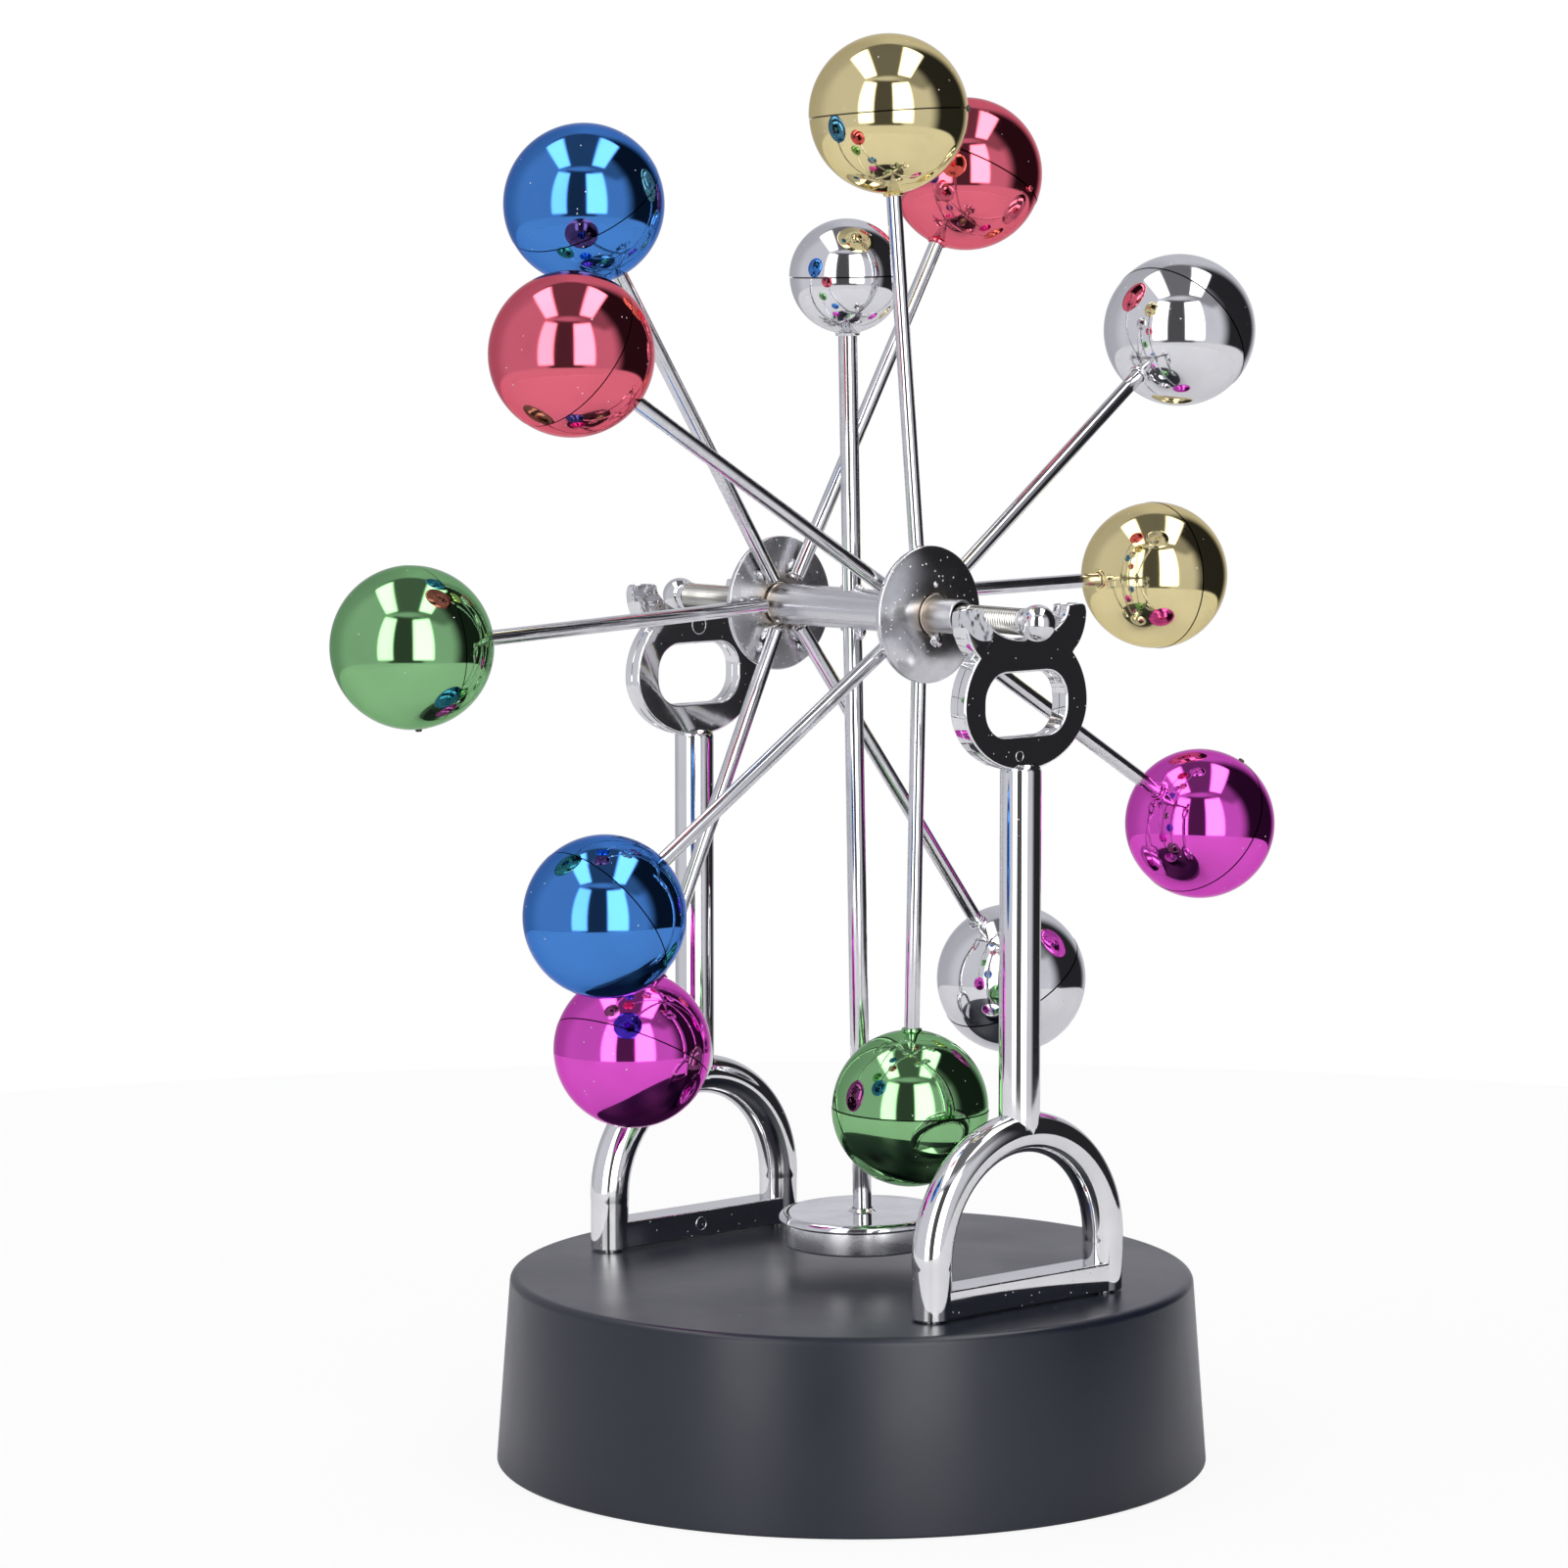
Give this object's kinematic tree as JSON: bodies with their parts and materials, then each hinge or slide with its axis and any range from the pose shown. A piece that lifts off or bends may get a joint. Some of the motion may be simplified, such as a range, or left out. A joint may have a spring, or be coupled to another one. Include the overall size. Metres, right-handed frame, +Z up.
{
  "type": "magnetic desk sculpture",
  "caption": "Kinetic desk sculpture: two staggered wheels of mirror balls and a magnetic pendulum roll on two chromed stands over a round drive base.",
  "frame": {"origin": "on the table, under the middle of the round base", "axes": "+Z up, +X along the axle towards the front stand, +Y across the wheels"},
  "size_m": [0.11, 0.1769, 0.219],
  "materials": {
    "ball_gold": "metallised mirror, pale gold",
    "ball_silver": "metallised mirror, silver",
    "ball_magenta": "metallised mirror, magenta",
    "ball_green": "metallised mirror, green",
    "ball_blue": "metallised mirror, blue",
    "ball_red": "metallised mirror, red",
    "rod_steel": "nickel plated, bright",
    "hub_nickel": "nickel plated, satin, heat tinted at the welds",
    "polished_chrome": "polished",
    "magnet_nickel": "nickel plated, slightly rough",
    "chromed_plastic": "chrome plated mirror",
    "charcoal_plastic": "satin",
    "bobbin_plastic": "moulded",
    "copper_wire": "enamelled",
    "board_green": "solder mask",
    "black_plastic": "moulded",
    "cell_jacket": "plain sleeve",
    "contact_steel": "plated spring steel",
    "screw_steel": "zinc plated",
    "pad_rubber": "matte"
  },
  "bodies": {
    "base": {"base_shell": "charcoal_plastic", "bottom_cover": "charcoal_plastic", "front_stand": "chromed_plastic", "rear_stand": "chromed_plastic", "coil_bobbin": "bobbin_plastic", "coil_winding": "copper_wire", "circuit_board": "board_green", "transistor": "black_plastic", "battery_1": "cell_jacket", "battery_2": "cell_jacket", "battery_3": "cell_jacket", "battery_4": "cell_jacket", "contact_start": "contact_steel", "contact_bridge_1": "contact_steel", "contact_bridge_2": "contact_steel", "contact_bridge_3": "contact_steel", "contact_end": "contact_steel", "cover_screw_1": "screw_steel", "cover_screw_2": "screw_steel", "cover_screw_3": "screw_steel", "foot_pad_1": "pad_rubber", "foot_pad_2": "pad_rubber", "foot_pad_3": "pad_rubber"},
    "rotor": {"axle_tube": "hub_nickel", "front_axle_stud": "rod_steel", "rear_axle_stud": "rod_steel", "front_ball_nut": "polished_chrome", "rear_ball_nut": "polished_chrome", "front_hub_disc": "hub_nickel", "rear_hub_disc": "hub_nickel", "pendulum_rod": "rod_steel", "top_ball": "ball_silver", "weight_plate": "polished_chrome", "drive_magnet": "magnet_nickel", "front_spoke_gold": "rod_steel", "front_spoke_silver": "rod_steel", "front_spoke_magenta": "rod_steel", "front_spoke_green": "rod_steel", "front_spoke_blue": "rod_steel", "front_spoke_red": "rod_steel", "front_ball_gold": "ball_gold", "front_ball_silver": "ball_silver", "front_ball_magenta": "ball_magenta", "front_ball_green": "ball_green", "front_ball_blue": "ball_blue", "front_ball_red": "ball_red", "rear_spoke_red": "rod_steel", "rear_spoke_gold": "rod_steel", "rear_spoke_silver": "rod_steel", "rear_spoke_magenta": "rod_steel", "rear_spoke_green": "rod_steel", "rear_spoke_blue": "rod_steel", "rear_ball_red": "ball_red", "rear_ball_gold": "ball_gold", "rear_ball_silver": "ball_silver", "rear_ball_magenta": "ball_magenta", "rear_ball_green": "ball_green", "rear_ball_blue": "ball_blue"},
    "battery_door": {"battery_door": "charcoal_plastic"}
  },
  "joints": [
    {"name": "rotor_spin", "type": "hinge", "parent": "base", "child": "rotor", "pos_m": [0, 0, 0.1321], "axis": [1, 0, 0], "continuous": true},
    {"name": "battery_door_hinge", "type": "hinge", "parent": "base", "child": "battery_door", "pos_m": [0, 0.0275, 0.0023], "axis": [1, 0, 0], "range_deg": [0, 95]}
  ]
}
